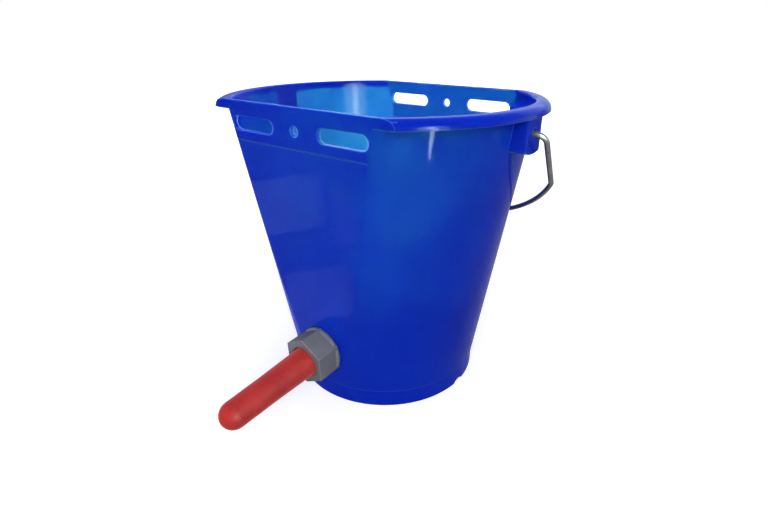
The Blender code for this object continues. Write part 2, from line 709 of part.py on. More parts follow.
def teat(frame, finish):
    """The hollow rubber teat: clamped flange, slightly waisted stem and round tip with its orifice."""
    root = NUT_OPENING - GAP - TEAT_DROP
    dome = TEAT_REACH - TEAT_TIP_RADIUS
    flare_end = NUT_END + 6 * MM
    waist = (flare_end + dome) / 2
    inner_tip = TEAT_TIP_RADIUS - TEAT_WALL
    outer_start = math.asin(TEAT_ORIFICE / TEAT_TIP_RADIUS)
    inner_start = math.asin(TEAT_ORIFICE / inner_tip)
    outside = [(TEAT_FLANGE_RADIUS, TEAT_START), (TEAT_FLANGE_RADIUS, TEAT_FLANGE_END)]
    outside += [(root, TEAT_FLANGE_END), (root, NUT_END)]
    outside += [((root + TEAT_ROOT_RADIUS) / 2, NUT_END + 2 * MM), (TEAT_ROOT_RADIUS, flare_end)]
    outside += [(TEAT_WAIST_RADIUS, waist)]
    outside += arc((0.0, dome), TEAT_TIP_RADIUS, 0.0, math.pi / 2 - outer_start, 8)
    inside = arc((0.0, dome), inner_tip, math.pi / 2 - inner_start, 0.0, 6)
    inside += [(TEAT_WAIST_RADIUS - TEAT_WALL, waist), (TEAT_ROOT_RADIUS - TEAT_WALL, flare_end)]
    inside += [(TEAT_ROOT_RADIUS - TEAT_WALL, TEAT_START)]
    made = revolve("teat", (outside + inside)[::-1], ROUND_SEGMENTS, frame)
    # The soft teat sits a little low in the nut and droops about its flange.
    hinge = Matrix.Translation((0.0, 0.0, TEAT_FLANGE_END))
    droop = Matrix.Rotation(TEAT_SAG, 4, "X")
    made.matrix_local = Matrix.Translation((0.0, -TEAT_DROP, 0.0)) @ hinge @ droop @ hinge.inverted()
    made.data.materials.append(finish)
    return made


for old in list(bpy.data.objects):
    bpy.data.objects.remove(old)

blue = material("bucket_blue", (0.01, 0.07, 0.50), 0.22)
wire = material("galvanised_wire", (0.52, 0.52, 0.50), 0.38, 1.0)
grey = material("nut_grey", (0.17, 0.18, 0.19), 0.45)
red = material("teat_red", (0.50, 0.045, 0.045), 0.55)
white = material("valve_white", (0.75, 0.75, 0.72), 0.40)
black = material("gasket_black", (0.02, 0.02, 0.02), 0.60)
ivory = material("ball_ivory", (0.80, 0.78, 0.70), 0.30)
natural = material("retainer_natural", (0.70, 0.70, 0.68), 0.40)

valve = valve_frame()
bpy.context.view_layer.update()
bucket_shell(valve, blue)
bail_handle(wire)
valve_body(valve, white)
wall_gasket(valve, black)
check_ball(valve, ivory)
ball_retainer(valve, natural)
union_nut(valve, grey)
teat(valve, red)
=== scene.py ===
"""Calf feeding bucket: the dressed model, its studio and its camera, in metres with +Z up.

The bucket's axis is the Z axis and its foot stands on z = 0. The flat side with the valve and teat faces -Y,
the other flat side faces +Y, and the ears that carry the bail stand at +X and -X.
"""

import math

import bmesh
import bpy
import numpy as np
from mathutils import Euler, Matrix, Vector


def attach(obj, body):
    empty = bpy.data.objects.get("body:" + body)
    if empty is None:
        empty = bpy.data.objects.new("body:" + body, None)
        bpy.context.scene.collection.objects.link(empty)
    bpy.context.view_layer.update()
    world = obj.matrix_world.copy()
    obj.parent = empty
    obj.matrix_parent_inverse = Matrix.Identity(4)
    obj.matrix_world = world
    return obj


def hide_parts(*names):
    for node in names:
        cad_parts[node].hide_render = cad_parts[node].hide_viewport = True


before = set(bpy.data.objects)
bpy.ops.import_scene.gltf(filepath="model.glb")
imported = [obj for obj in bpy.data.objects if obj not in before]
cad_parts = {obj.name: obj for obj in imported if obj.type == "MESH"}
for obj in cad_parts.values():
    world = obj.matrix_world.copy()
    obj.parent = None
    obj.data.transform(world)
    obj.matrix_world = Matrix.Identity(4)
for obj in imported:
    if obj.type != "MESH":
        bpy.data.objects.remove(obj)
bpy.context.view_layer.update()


# The bucket is one injection moulding in glossy, slightly translucent blue polypropylene. Two sides of its
# tapered wall are flat and end in a proud band with two slots and a hole. The rim is rolled outwards on the
# round sides, and the ears are pockets that hang under it.

MM = 0.001
HEIGHT = 265 * MM
TOP_RADIUS = 130.4 * MM
BASE_RADIUS = 87.9 * MM
WALL = 3.0 * MM
CORNER_RADIUS = 7.0 * MM
FLAT_BASE = 89.4 * MM
FLAT_LEDGE = 103.9 * MM
BAND_HEIGHT = 31.5 * MM
BAND_FLAT = 105.1 * MM
BAND_WALL = 3.6 * MM
LEDGE_RISE = 1.2 * MM
LEDGE_Z = HEIGHT - BAND_HEIGHT
FOOT_RADIUS = 89.6 * MM
FOOT_HEIGHT = 16.3 * MM
FOOT_STEP = 0.4 * MM
FOOT_WALL = 2.8 * MM
BASE_PLATE = 3.2 * MM
BASE_FILLET = 6.0 * MM
NOTCH_WIDTH = 13.0 * MM
NOTCH_HEIGHT = 3.0 * MM
RIM_RADIUS = 140.1 * MM
RIM_ROUND = 7.2 * MM
RIM_WALL = 2.9 * MM
RIM_WEB = 2.6 * MM
RIM_SOFT = 2.2 * MM
BAND_SOFT = 0.9 * MM
RIM_BOTTOM = HEIGHT - RIM_ROUND
SLOT_INNER = 23.3 * MM
SLOT_OUTER = 70.7 * MM
SLOT_WIDTH = 11.3 * MM
SLOT_Z = HEIGHT - 17.3 * MM
HOLE_RADIUS = 4.05 * MM
EAR_FACE = 139.3 * MM
EAR_HALF_WIDTH = 12.3 * MM
EAR_DEPTH = 32.8 * MM
EAR_CORNER = 3.0 * MM
EAR_BOW = 46.0 * MM
EAR_EDGE = 1.5 * MM
EAR_WALL = 2.8 * MM
EAR_COVER = 0.5 * MM
PIVOT_Z = HEIGHT - 18.0 * MM
PIVOT_HOLE = 3.3 * MM
WIRE_RADIUS = 2.2 * MM
PLAY = 0.3 * MM
VALVE_HEIGHT = 52.4 * MM
VALVE_LEAN = math.atan2(FLAT_LEDGE - FLAT_BASE, LEDGE_Z)
BODY_RADIUS = 16.7 * MM
RIM_STEPS = 360
BORE_STEPS = 96
HOLE_STEPS = 48
EDGE_STEPS = 8
ARC_STEPS = 56
FILLET_STEPS = 12
FLAT_STEPS = 22
WALL_RINGS = 25
RING_CROWDING = 1.6
SPARE = 0.1 * MM
WEB_SPARE = 0.5 * MM
BRINK = 0.05 * MM
MERGE_WITHIN = 0.015 * MM
SLIVER = 0.001 * MM
BLUE_DEEP = (0.0010, 0.015, 0.41, 1.0)
BLUE_CLEAR = (0.0020, 0.024, 0.47, 1.0)
BLUE_EDGE_HIGHLIGHT = (0.08, 0.19, 0.66, 1.0)
BLUE_ROUGHNESS = (0.06, 0.10)


def wall_radius(z):
    """Outer radius of the tapered wall: straight from the base radius to the top radius over the height."""
    return BASE_RADIUS + (TOP_RADIUS - BASE_RADIUS) * z / HEIGHT


def lower_flat(z):
    """Distance of a flat side's outer face from the axis, straight from the base to the ledge."""
    return FLAT_BASE + (FLAT_LEDGE - FLAT_BASE) * z / LEDGE_Z


def skin(name, grid, close_rows=False, cap_rows=False):
    """An object over a grid of points (rows, columns, 3), each row a closed ring.

    Neighbouring rows are joined by quads. The last row joins the first when close_rows is set, and cap_rows
    closes the first and the last row with one face each. Faces point out when rings run counter-clockwise
    seen from the end that the rows run towards.
    """
    rows, columns = grid.shape[:2]
    here = np.arange(rows * columns).reshape(rows, columns)
    above = np.roll(here, -1, axis=0)
    used = rows if close_rows else rows - 1
    quads = np.stack([here, np.roll(here, -1, axis=1), np.roll(above, -1, axis=1), above], axis=-1)
    faces = quads[:used].reshape(-1, 4).tolist()
    if cap_rows:
        faces += [here[0, ::-1].tolist(), here[-1].tolist()]
    mesh = bpy.data.meshes.new(name)
    mesh.from_pydata(grid.reshape(-1, 3).tolist(), [], faces)
    mesh.validate()
    made = bpy.data.objects.new(name, mesh)
    bpy.context.scene.collection.objects.link(made)
    return made


def flat_sided_rings(radius, flat, fillet, z):
    """Circles cut by the lines y = flat and y = -flat with filleted corners, one ring for each height z.

    In a quarter, measured by the angle from the Y axis, the distance from the centre is flat / cos(angle) on
    the flat, the far crossing with the fillet's circle on the corner, and the radius itself on the arc. The
    three parts have fixed counts of points, so that rings of any size match point for point.
    """
    radius, flat, fillet, z = (np.broadcast_to(np.asarray(a, float), np.shape(z))[:, None]
                               for a in (radius, flat, fillet, z))
    reach = (radius - fillet) ** 2 - (flat - fillet) ** 2
    centre = np.sqrt(np.maximum(reach, 0.0))
    end_of_flat = np.where(reach > 0, np.arctan2(centre, flat), 0.0)
    start_of_arc = np.where(reach > 0, np.arctan2(centre, flat - fillet), 0.0)
    least_turn = math.radians(2.0)
    first = np.maximum(end_of_flat, least_turn)
    second = np.maximum(start_of_arc, first + least_turn)
    angle = np.concatenate([
        math.pi / 2 + (second - math.pi / 2) * np.linspace(0.0, 1.0, ARC_STEPS + 1)[None],
        second + (first - second) * np.linspace(0.0, 1.0, FILLET_STEPS + 1)[None, 1:],
        first * np.linspace(1.0, 0.0, FLAT_STEPS + 1)[None, 1:],
    ], axis=1)
    along = centre * np.sin(angle) + (flat - fillet) * np.cos(angle)
    corner = along + np.sqrt(np.maximum(along**2 - centre**2 - (flat - fillet) ** 2 + fillet**2, 0.0))
    round_part = np.where(angle < start_of_arc, corner, radius)
    distance = np.where(angle < end_of_flat, flat / np.cos(angle), round_part)
    x, y = distance * np.sin(angle), distance * np.cos(angle)
    half_x = np.concatenate([x, -x[:, -2::-1]], axis=1)[:, :-1]
    half_y = np.concatenate([y, y[:, -2::-1]], axis=1)[:, :-1]
    ring_x = np.concatenate([half_x, -half_x], axis=1)
    ring_y = np.concatenate([half_y, -half_y], axis=1)
    return np.stack([ring_x, ring_y, np.broadcast_to(z, ring_x.shape)], axis=-1)


def turned(name, profile, segments):
    """A closed profile of (radius, z) points, counter-clockwise with z up, turned round the Z axis."""
    turn = np.linspace(0.0, 2.0 * math.pi, segments, endpoint=False)
    radius, z = np.asarray(profile, float).T[:, :, None]
    grid = np.stack([radius * np.cos(turn), radius * np.sin(turn), z + 0.0 * turn], axis=-1)
    return skin(name, grid, close_rows=True)


def carried(name, outline, low, high, axis):
    """An outline of two coordinates, counter-clockwise about the axis, carried from low to high along it."""
    order = {"X": (2, 0, 1), "Y": (1, 2, 0), "Z": (0, 1, 2)}[axis]
    outline = np.asarray(outline, float)
    rows = [np.column_stack([outline, np.full(len(outline), level)])[:, order] for level in (low, high)]
    return skin(name, np.array(rows), cap_rows=True)


def arc(centre, radius, start, end, steps):
    """Points on an arc of a circle, both ends included, angles in radians."""
    angle = np.linspace(start, end, steps + 1)
    return np.column_stack([centre[0] + radius * np.cos(angle), centre[1] + radius * np.sin(angle)])


def cut(target, tools, operation):
    """Joins, subtracts or intersects the tools one after another, keeps the result and removes the tools.

    All of them are turned into triangles first, so that no face is bent.
    """
    for made in [target, *tools]:
        work = bmesh.new()
        work.from_mesh(made.data)
        bmesh.ops.triangulate(work, faces=work.faces)
        work.to_mesh(made.data)
        work.free()
    for tool in tools:
        step = target.modifiers.new(tool.name, "BOOLEAN")
        step.solver = "EXACT"
        step.operation = operation
        step.object = tool
    graph = bpy.context.evaluated_depsgraph_get()
    result = bpy.data.meshes.new_from_object(target.evaluated_get(graph))
    target.modifiers.clear()
    target.data = result
    for tool in tools:
        bpy.data.objects.remove(tool)
    return target


def bucket_block():
    """Wall and foot as a solid block: flat-sided rings stacked from the ground to just under the top.

    The wall's rings crowd towards the foot, where the flat sides run out: their heights follow a power of
    their share of the way up. The foot is round, because a flat outside its circle cuts nothing.
    """
    round_foot = 2.0 * FOOT_RADIUS
    start = FOOT_HEIGHT + FOOT_STEP
    z = start + (LEDGE_Z - start) * np.linspace(0.0, 1.0, WALL_RINGS) ** RING_CROWDING
    foot_top = wall_radius(FOOT_HEIGHT) - FOOT_STEP
    foot = flat_sided_rings([FOOT_RADIUS, foot_top], round_foot, CORNER_RADIUS, [0.0, FOOT_HEIGHT])
    wall = flat_sided_rings(wall_radius(z), lower_flat(z), CORNER_RADIUS, z)
    high = np.array([LEDGE_Z + LEDGE_RISE, HEIGHT - RIM_WALL / 2])
    band = flat_sided_rings(wall_radius(high), BAND_FLAT + SPARE, CORNER_RADIUS, high)
    return skin("bucket", np.concatenate([foot, wall, band]), cap_rows=True)


def bucket_space():
    """The space inside: the wall's rings moved in by the wall's thickness, over a rounded floor.

    At the top they widen along a quarter circle, which rounds the rim's inner edge, and run straight up from
    just under the top, so that they cross it squarely.
    """
    turn = np.linspace(0.0, math.pi / 2, 9)
    low = FOOT_HEIGHT + BASE_FILLET * (1.0 - np.cos(turn))
    inset = WALL + BASE_FILLET * (1.0 - np.sin(turn))
    inner_corner = CORNER_RADIUS - WALL
    floor = flat_sided_rings(wall_radius(low) - inset, lower_flat(low) - inset, inner_corner, low)
    above_fillet = FOOT_HEIGHT + 1.3 * BASE_FILLET
    z = np.linspace(above_fillet, LEDGE_Z, WALL_RINGS - 1)
    wall = flat_sided_rings(wall_radius(z) - WALL, lower_flat(z) - WALL, inner_corner, z)
    brink = HEIGHT - BRINK
    edge = brink - RIM_SOFT * (1.0 - np.sin(np.linspace(0.0, math.pi / 2, 6)))
    high = np.concatenate([[LEDGE_Z + LEDGE_RISE], edge, [HEIGHT + RIM_ROUND]])
    wide, deep = (soft - np.sqrt(soft**2 - np.clip(high - brink + soft, 0.0, soft) ** 2)
                  for soft in (RIM_SOFT, BAND_SOFT))
    round_side = wall_radius(np.minimum(high, HEIGHT)) - WALL + wide
    band = flat_sided_rings(round_side, BAND_FLAT - BAND_WALL + deep, inner_corner, high)
    return skin("bucket_space", np.concatenate([floor, wall, band]), cap_rows=True)


def rolled_rim():
    """The top plate and the quarter round that turns down outside the wall, turned all the way round.

    Its inner part lies within the space that is cut out later.
    """
    centre = (RIM_RADIUS - RIM_ROUND, RIM_BOTTOM)
    inside = 0.65 * TOP_RADIUS
    lip = arc((RIM_RADIUS - RIM_WALL / 2, RIM_BOTTOM), RIM_WALL / 2, 0.0, -math.pi, EDGE_STEPS)
    profile = np.concatenate([
        [(inside, HEIGHT - RIM_WALL), (inside, HEIGHT)],
        arc(centre, RIM_ROUND, math.pi / 2, 0.0, 2 * EDGE_STEPS),
        lip[1:-1] * (1.0, 0.0) + (0.0, RIM_BOTTOM),
        arc(centre, RIM_ROUND - RIM_WALL, 0.0, math.pi / 2, 12),
    ])
    return turned("rolled_rim", profile[::-1], RIM_STEPS)


def rim_ends():
    """The four webs that close the rolled rim where the flat sides cut it.

    Each is an upright plate along the flat, from inside the wall to a circle in the middle of the rim's lip.
    """
    outer = RIM_RADIUS - 0.75 * RIM_WALL
    low_y, high_y = BAND_FLAT - RIM_WEB, BAND_FLAT + WEB_SPARE
    start = 0.8 * math.sqrt(TOP_RADIUS**2 - BAND_FLAT**2)
    corner = np.array([
        (start, low_y),
        (math.sqrt(outer**2 - low_y**2), low_y),
        (math.sqrt(outer**2 - high_y**2), high_y),
        (start, high_y),
    ])
    webs = []
    for side, end in ((1, 1), (1, -1), (-1, 1), (-1, -1)):
        outline = corner * (side, end)
        outline = outline if side * end > 0 else outline[::-1]
        webs.append(carried("rim_end", outline, RIM_BOTTOM - PLAY, HEIGHT - RIM_WALL / 2, "Z"))
    return webs


def ear(side):
    """One ear under the rim: a block with a bowed lower edge and rounded sides, hollowed from below.

    Its outline across X is two corner arcs and a shallow bow between them, its plan has an arc at each outer
    edge, and a turned ring cuts its top off just under the rim's outer skin.
    """
    low, high, half = HEIGHT - EAR_DEPTH, HEIGHT - RIM_WALL / 2, EAR_HALF_WIDTH
    turn = math.asin((half - EAR_CORNER) / (EAR_BOW - EAR_CORNER))
    corner_y = (EAR_BOW - EAR_CORNER) * math.sin(turn)
    corner_z = low + EAR_BOW - (EAR_BOW - EAR_CORNER) * math.cos(turn)
    down = 1.5 * math.pi
    outline = np.concatenate([
        arc((-corner_y, corner_z), EAR_CORNER, math.pi, down - turn, EDGE_STEPS),
        arc((0.0, low + EAR_BOW), EAR_BOW, down - turn, down + turn, 2 * EDGE_STEPS)[1:-1],
        arc((corner_y, corner_z), EAR_CORNER, down + turn, 2.0 * math.pi, EDGE_STEPS),
        [(half, high), (-half, high)],
    ])
    root = side * 0.85 * TOP_RADIUS
    block = carried("ear", outline, *sorted((side * EAR_FACE, root)), "X")
    edge, face = half - EAR_EDGE, EAR_FACE - EAR_EDGE
    plan = np.concatenate([
        side * arc((face, -edge), EAR_EDGE, -math.pi / 2, 0.0, EDGE_STEPS),
        side * arc((face, edge), EAR_EDGE, 0.0, math.pi / 2, EDGE_STEPS),
        [(root - side * WALL, side * half), (root - side * WALL, -side * half)],
    ])
    cut(block, [carried("ear_plan", plan, low - WALL, high + WALL, "Z")], "INTERSECT")
    inner = half - EAR_WALL
    pocket = [(-inner, low / 2), (inner, low / 2), (inner, 2 * HEIGHT), (-inner, 2 * HEIGHT)]
    ends = sorted((side * (EAR_FACE - EAR_WALL), side * 0.5 * TOP_RADIUS))
    centre = (RIM_RADIUS - RIM_ROUND, RIM_BOTTOM)
    crown = arc(centre, RIM_ROUND - EAR_COVER, 0.1, math.pi / 2, 2 * EDGE_STEPS)
    over, beyond = 1.1 * HEIGHT, 1.1 * RIM_RADIUS
    crown = np.concatenate([crown, [(centre[0], over), (beyond, over), (beyond, crown[0][1])]])
    tools = [carried("pocket", pocket, *ends, "X"), turned("crown", crown[::-1], RIM_STEPS)]
    return cut(block, tools, "DIFFERENCE")


def bucket_cutters():
    """What is cut away: beyond the bands, the space, slots, holes, notches, foot recess and valve bore."""
    tools = []
    for side in (1, -1):
        near, far = sorted((side * BAND_FLAT, side * 1.5 * RIM_RADIUS))
        wide = 2 * RIM_RADIUS
        outline = [(-wide, near), (wide, near), (wide, far), (-wide, far)]
        tools.append(carried("beyond_band", outline, LEDGE_Z, HEIGHT + RIM_ROUND, "Z"))
    tools.append(bucket_space())
    half, reach = SLOT_WIDTH / 2, 1.3 * BAND_FLAT
    for side in (1, -1):
        left, right = sorted((side * (SLOT_INNER + half), side * (SLOT_OUTER - half)))
        right_end = arc((SLOT_Z, right), half, 0.0, math.pi, HOLE_STEPS // 2)
        left_end = arc((SLOT_Z, left), half, math.pi, 2 * math.pi, HOLE_STEPS // 2)
        tools.append(carried("slot", np.concatenate([right_end, left_end]), -reach, reach, "Y"))
    hole = arc((SLOT_Z, 0.0), HOLE_RADIUS, 0.0, 2 * math.pi, HOLE_STEPS)[:-1]
    tools.append(carried("hole", hole, -reach, reach, "Y"))
    recess = FOOT_RADIUS - FOOT_WALL
    low_high = np.array([-FOOT_HEIGHT, FOOT_HEIGHT - BASE_PLATE])
    recess_rings = flat_sided_rings(recess, 2 * recess, CORNER_RADIUS, low_high)
    tools.append(skin("recess", recess_rings, cap_rows=True))
    # A notch is an arc: its radius follows from its width and height on the ground.
    notch = ((NOTCH_WIDTH / 2) ** 2 + NOTCH_HEIGHT**2) / (2 * NOTCH_HEIGHT)
    outline = arc((0.0, NOTCH_HEIGHT - notch), notch, 0.0, 2 * math.pi, BORE_STEPS)[:-1]
    tools.append(carried("notch", outline, -1.2 * FOOT_RADIUS, 1.2 * FOOT_RADIUS, "X"))
    for side in (1, -1):
        ends = sorted((side * (EAR_FACE - 2 * EAR_WALL), side * (EAR_FACE + EAR_WALL)))
        middle = (0.0, PIVOT_Z + PIVOT_HOLE - WIRE_RADIUS - PLAY)
        pivot = arc(middle, PIVOT_HOLE, 0.0, 2 * math.pi, HOLE_STEPS)[:-1]
        tools.append(carried("pivot_hole", pivot, *ends, "X"))
    bore = arc((0.0, 0.0), BODY_RADIUS + PLAY, 0.0, 2 * math.pi, BORE_STEPS)[:-1]
    tools.append(carried("bore", bore, -3 * WALL, 3 * WALL, "Z"))
    tools[-1].data.transform(VALVE_PLACE)
    return tools


# The valve's own axes: X across, Y up the flat side and Z straight out of it.
VALVE_PLACE = Matrix((
    (1.0, 0.0, 0.0, 0.0),
    (0.0, -math.sin(VALVE_LEAN), -math.cos(VALVE_LEAN), -lower_flat(VALVE_HEIGHT)),
    (0.0, math.cos(VALVE_LEAN), -math.sin(VALVE_LEAN), VALVE_HEIGHT),
    (0.0, 0.0, 0.0, 1.0),
))


def smooth(made, angle=30.0):
    """Merges doubles, and shades the faces smoothly except across edges that turn by more than the angle.

    Points, edges and faces are first put in order along one slanted line, so that each run merges alike.
    """
    slant = (1.0, 0.618, 0.414)
    work = bmesh.new()
    work.from_mesh(made.data)
    for items, middle in (
        (work.verts, lambda point: point.co),
        (work.edges, lambda edge: edge.verts[0].co + edge.verts[1].co),
        (work.faces, lambda face: face.calc_center_median()),
    ):
        items.sort(key=lambda item: middle(item).dot(slant))
    bmesh.ops.remove_doubles(work, verts=work.verts, dist=MERGE_WITHIN)
    bmesh.ops.dissolve_degenerate(work, edges=work.edges, dist=SLIVER)
    work.to_mesh(made.data)
    work.free()
    made.data.shade_smooth()
    made.data.set_sharp_from_angle(angle=math.radians(angle))
    return made


def add(tree, kind, inputs=(), **settings):
    """A new shader node with its settings. An input takes a plain value or another node's output."""
    made = tree.nodes.new("ShaderNode" + kind)
    for name, value in settings.items():
        setattr(made, name, value)
    for name, value in dict(inputs).items():
        if isinstance(value, bpy.types.NodeSocket):
            tree.links.new(value, made.inputs[name])
        else:
            made.inputs[name].default_value = value
    return made


def between(tree, value, low, high, start=0.0, end=1.0):
    """A value in the range low to high, carried over to the range start to end and held there."""
    return add(tree, "MapRange", {0: value, 1: low, 2: high, 3: start, 4: end}).outputs[0]


def math_of(tree, operation, first, second):
    """The sum, product or other operation of two values."""
    return add(tree, "Math", {0: first, 1: second}, operation=operation).outputs[0]


def blended(tree, share, first, second):
    """A colour between the first and the second."""
    return add(tree, "Mix", {0: share, "A": first, "B": second}, data_type="RGBA").outputs["Result"]


def group(name, takes, gives):
    """A node group with input and output sockets, given as (name, kind) pairs. Returns their ends too."""
    made = bpy.data.node_groups.new(name, "ShaderNodeTree")
    for direction, sockets in (("INPUT", takes), ("OUTPUT", gives)):
        for socket, kind in sockets:
            made.interface.new_socket(socket, in_out=direction, socket_type="NodeSocket" + kind)
    return made, made.nodes.new("NodeGroupInput").outputs, made.nodes.new("NodeGroupOutput").inputs


def put(tree, made, **inputs):
    """The outputs of a node group placed in a material. Its inputs have an underscore for each space."""
    values = {name.replace("_", " "): value for name, value in inputs.items()}
    return add(tree, "Group", values, node_tree=made).outputs


def finish_of(name):
    """A new material: its tree, its Principled shader's inputs and its Object coordinates."""
    made = bpy.data.materials.new(name)
    made.use_nodes = True
    tree = made.node_tree
    return made, tree, tree.nodes["Principled BSDF"].inputs, add(tree, "TexCoord").outputs["Object"]


def tune(shader, **values):
    """Sets plain inputs of a material's shader, named with an underscore for each space."""
    for name, value in values.items():
        shader[name.replace("_", " ")].default_value = value


def press(tree, shader, height, depth, **others):
    """Gives a material a relief: its height is the pattern times the depth."""
    relief = add(tree, "Bump", {"Height": height, "Distance": depth, **others})
    tree.links.new(relief.outputs[0], shader["Normal"])


# Cloud is the slow unevenness of a moulded or coated surface, Grain its fine texture, both from 0 to 1.
surface_grain, takes, gives = group(
    "surface_grain",
    (("Place", "Vector"), ("Cloud Scale", "Float"), ("Grain Scale", "Float")),
    (("Cloud", "Float"), ("Grain", "Float")),
)
coarse = {"Vector": takes["Place"], "Scale": takes["Cloud Scale"], "Detail": 4.0}
cloud = add(surface_grain, "TexNoise", coarse).outputs[0]
surface_grain.links.new(between(surface_grain, cloud, 0.3, 0.7), gives["Cloud"])
fine = {"Vector": takes["Place"], "Scale": takes["Grain Scale"], "Detail": 2.0}
surface_grain.links.new(add(surface_grain, "TexNoise", fine).outputs[0], gives["Grain"])

# Rounded is the normal with its sharp edges rounded off. Edge is 1 on those edges, where the rounded normal
# leans away from the true one, and 0 elsewhere. Materials paint a paler colour with it: a painted highlight
# along the edges.
edge_highlight, takes, gives = group(
    "edge_highlight",
    (("Radius", "Float"),),
    (("Edge", "Float"), ("Rounded", "Vector")),
)
rounded = add(edge_highlight, "Bevel", {"Radius": takes["Radius"]}, samples=4).outputs[0]
true_normal = add(edge_highlight, "NewGeometry").outputs["Normal"]
lean = add(edge_highlight, "VectorMath", {0: rounded, 1: true_normal}, operation="DOT_PRODUCT").outputs["Value"]
edge_highlight.links.new(between(edge_highlight, lean, 0.99, 0.88), gives["Edge"])
edge_highlight.links.new(rounded, gives["Rounded"])

# Marks are fine lines along one direction, in which Stretch is small, in patches where the piece was rubbed.
rub_marks, takes, gives = group(
    "rub_marks",
    (("Place", "Vector"), ("Stretch", "Vector"), ("Line Scale", "Float"), ("Patch Scale", "Float")),
    (("Marks", "Float"),),
)
stretched = add(rub_marks, "VectorMath", {0: takes["Place"], 1: takes["Stretch"]}, operation="MULTIPLY")
fine = {"Vector": stretched.outputs[0], "Scale": takes["Line Scale"], "Detail": 3.0}
lines = between(rub_marks, add(rub_marks, "TexNoise", fine).outputs[0], 0.55, 0.7)
coarse = {"Vector": takes["Place"], "Scale": takes["Patch Scale"]}
patches = between(rub_marks, add(rub_marks, "TexNoise", coarse).outputs[0], 0.45, 0.7)
rub_marks.links.new(math_of(rub_marks, "MULTIPLY", lines, patches), gives["Marks"])

bucket = bucket_block()
cut(bucket, [rolled_rim(), *rim_ends(), ear(1), ear(-1)], "UNION")
cut(bucket, bucket_cutters(), "DIFFERENCE")
smooth(bucket)

blue, tree, shader, place = finish_of("bucket_blue")
tune(shader, Specular_IOR_Level=0.06)
# Light goes several millimetres into the wall and comes out of its other side.
tune(shader, Subsurface_Weight=1.0, Subsurface_Radius=(2.6, 2.5, 1.2), Subsurface_Scale=0.006)
grain = put(tree, surface_grain, Place=place, Cloud_Scale=16.0, Grain_Scale=330.0)
edge_light = put(tree, edge_highlight, Radius=0.8 * MM)
# Buckets that are nested rub each other along their height.
upright = (1.0, 1.0, 0.03)
rubbed = put(tree, rub_marks, Place=place, Stretch=upright, Line_Scale=420.0, Patch_Scale=22.0)["Marks"]
colour = blended(tree, grain["Cloud"], BLUE_DEEP, BLUE_CLEAR)
# The edges are painted a paler blue: a painted highlight like the thin light lines that the real edges catch
# and let through.
highlight_share = math_of(tree, "MULTIPLY", edge_light["Edge"], 0.8)
tree.links.new(blended(tree, highlight_share, colour, BLUE_EDGE_HIGHLIGHT), shader["Base Color"])
gloss = between(tree, grain["Cloud"], 0.0, 1.0, *BLUE_ROUGHNESS)
tree.links.new(math_of(tree, "ADD", gloss, math_of(tree, "MULTIPLY", rubbed, 0.12)), shader["Roughness"])
height = math_of(tree, "ADD", math_of(tree, "MULTIPLY", grain["Cloud"], 2.5), grain["Grain"])
press(tree, shader, height, 0.02 * MM, Normal=edge_light["Rounded"], Strength=0.4)
bucket.data.materials.clear()
bucket.data.materials.append(blue)
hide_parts("bucket_shell")
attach(bucket, "bucket")


# The bail is one length of galvanised round wire. Its legs run down outside the ears, its bow is a large
# arc, and its ends turn through the ears' holes into hooks.

LEG_GAP = 6.4 * MM
LEG_X = EAR_FACE + LEG_GAP + WIRE_RADIUS
LEG_TAPER = math.radians(6.6)
LEG_BEND = 8.5 * MM
BOW_RADIUS = 155.5 * MM
BOW_RISE = 1.5 * MM
BOW_BEND = 7.0 * MM
HOOK_BEND = 2.8 * MM
HOOK_REACH = 6.4 * MM
BAIL_REST = math.radians(43.797)
WIRE_STEPS = 24
HOOK_STEPS = 12
LEG_STEPS = 16
CORNER_STEPS = 10
BOW_STEPS = 60
CAP_RINGS = 6
CAP_BULGE = 0.35 * WIRE_RADIUS
ZINC_DARK = (0.195, 0.185, 0.172, 1.0)
ZINC_LIGHT = (0.45, 0.43, 0.40, 1.0)
ZINC_DRAWN = (0.5, 0.5, 0.49, 1.0)
ZINC_ROUGHNESS = (0.46, 0.28)


def rounded_corner(before, corner, after, radius, steps):
    """Points of the arc that rounds the corner between two straight runs.

    Its centre lies on the corner's bisector, the radius over the sine of half the angle away, and it touches
    each run at the radius over the tangent of half the angle.
    """
    back = np.subtract(before, corner)
    back = back / np.linalg.norm(back)
    ahead = np.subtract(after, corner)
    ahead = ahead / np.linalg.norm(ahead)
    half_angle = math.acos(float(back @ ahead)) / 2
    middle = (back + ahead) / np.linalg.norm(back + ahead)
    centre = corner + middle * radius / math.sin(half_angle)
    start = corner + back * radius / math.tan(half_angle) - centre
    end = corner + ahead * radius / math.tan(half_angle) - centre
    first = math.atan2(start[1], start[0])
    sweep = math.remainder(math.atan2(end[1], end[0]) - first, 2.0 * math.pi)
    return arc(centre, radius, first, first + sweep, steps)


